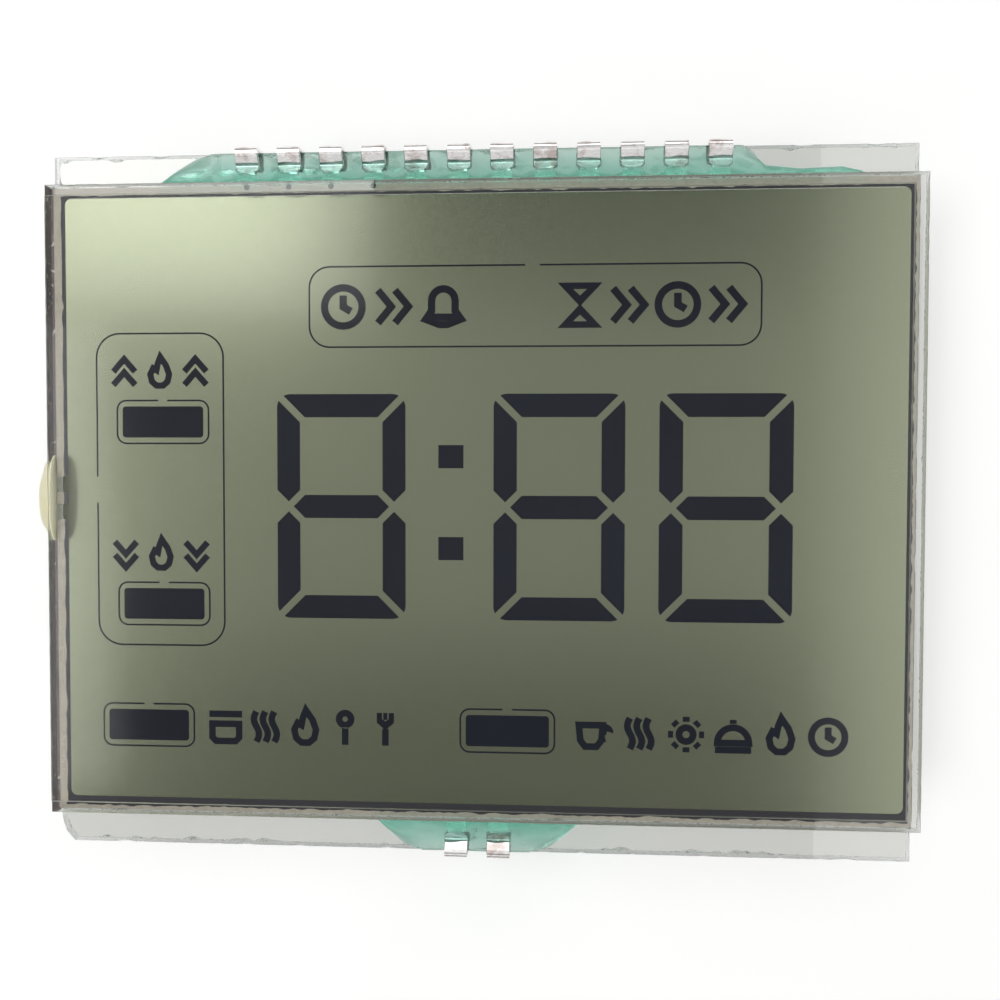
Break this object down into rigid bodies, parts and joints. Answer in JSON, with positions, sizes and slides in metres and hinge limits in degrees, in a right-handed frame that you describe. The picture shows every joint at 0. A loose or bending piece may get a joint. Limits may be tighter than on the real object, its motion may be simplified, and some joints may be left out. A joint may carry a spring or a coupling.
{
  "type": "segment lcd display",
  "caption": "Flat glass segment display with clock-style digits, indicator bars, a long clip-on pin row on the upper ledge and a short one on the lower ledge.",
  "frame": {"origin": "middle of the reflector's rear face, below the middle of the rear glass", "axes": "+Z towards the viewer, +Y towards the edge with the long pin row, +X to the viewer's right"},
  "size_m": [0.0527, 0.0426, 0.0089],
  "materials": {
    "polarizer_film": "clear grey film, semi-gloss",
    "clear_glass": "clear float glass with cut edges",
    "clear_electrode": "transparent conductive coating",
    "liquid_crystal": "clear fluid layer",
    "cell_seal": "epoxy line, dark between the crossed films",
    "end_seal_resin": "pale cured resin",
    "carbon_paste": "dull black conductive paste",
    "rear_film": "grey-green film",
    "reflector_foil": "satin metallised foil",
    "pin_adhesive": "clear blue-green cured adhesive",
    "dark_segment": "dark blue-grey switched-on segment",
    "tinned_bronze": "bright tin plating"
  },
  "bodies": {
    "root": {"front_polarizer": "polarizer_film", "front_glass": "clear_glass", "common_electrodes": "clear_electrode", "liquid_crystal": "liquid_crystal", "perimeter_seal": "cell_seal", "end_seal": "end_seal_resin", "crossover_dots": "carbon_paste", "contact_pads": "clear_electrode", "rear_glass": "clear_glass", "rear_polarizer": "rear_film", "reflector": "reflector_foil", "top_adhesive": "pin_adhesive", "bottom_adhesive": "pin_adhesive", "digit_1_segment_a": "dark_segment", "digit_1_segment_b": "dark_segment", "digit_1_segment_c": "dark_segment", "digit_1_segment_d": "dark_segment", "digit_1_segment_e": "dark_segment", "digit_1_segment_f": "dark_segment", "digit_1_segment_g": "dark_segment", "digit_2_segment_a": "dark_segment", "digit_2_segment_b": "dark_segment", "digit_2_segment_c": "dark_segment", "digit_2_segment_d": "dark_segment", "digit_2_segment_e": "dark_segment", "digit_2_segment_f": "dark_segment", "digit_2_segment_g": "dark_segment", "digit_3_segment_a": "dark_segment", "digit_3_segment_b": "dark_segment", "digit_3_segment_c": "dark_segment", "digit_3_segment_d": "dark_segment", "digit_3_segment_e": "dark_segment", "digit_3_segment_f": "dark_segment", "digit_3_segment_g": "dark_segment", "colon_dots": "dark_segment", "setting_frame": "dark_segment", "level_frame": "dark_segment", "upper_level_bar": "dark_segment", "upper_level_outline": "dark_segment", "lower_level_bar": "dark_segment", "lower_level_outline": "dark_segment", "first_mode_bar": "dark_segment", "first_mode_outline": "dark_segment", "second_mode_bar": "dark_segment", "second_mode_outline": "dark_segment", "top_pin_01": "tinned_bronze", "top_pin_02": "tinned_bronze", "top_pin_03": "tinned_bronze", "top_pin_04": "tinned_bronze", "top_pin_05": "tinned_bronze", "top_pin_06": "tinned_bronze", "top_pin_07": "tinned_bronze", "top_pin_08": "tinned_bronze", "top_pin_09": "tinned_bronze", "top_pin_10": "tinned_bronze", "top_pin_11": "tinned_bronze", "top_pin_12": "tinned_bronze", "bottom_pin_01": "tinned_bronze", "bottom_pin_02": "tinned_bronze"}
  },
  "joints": []
}
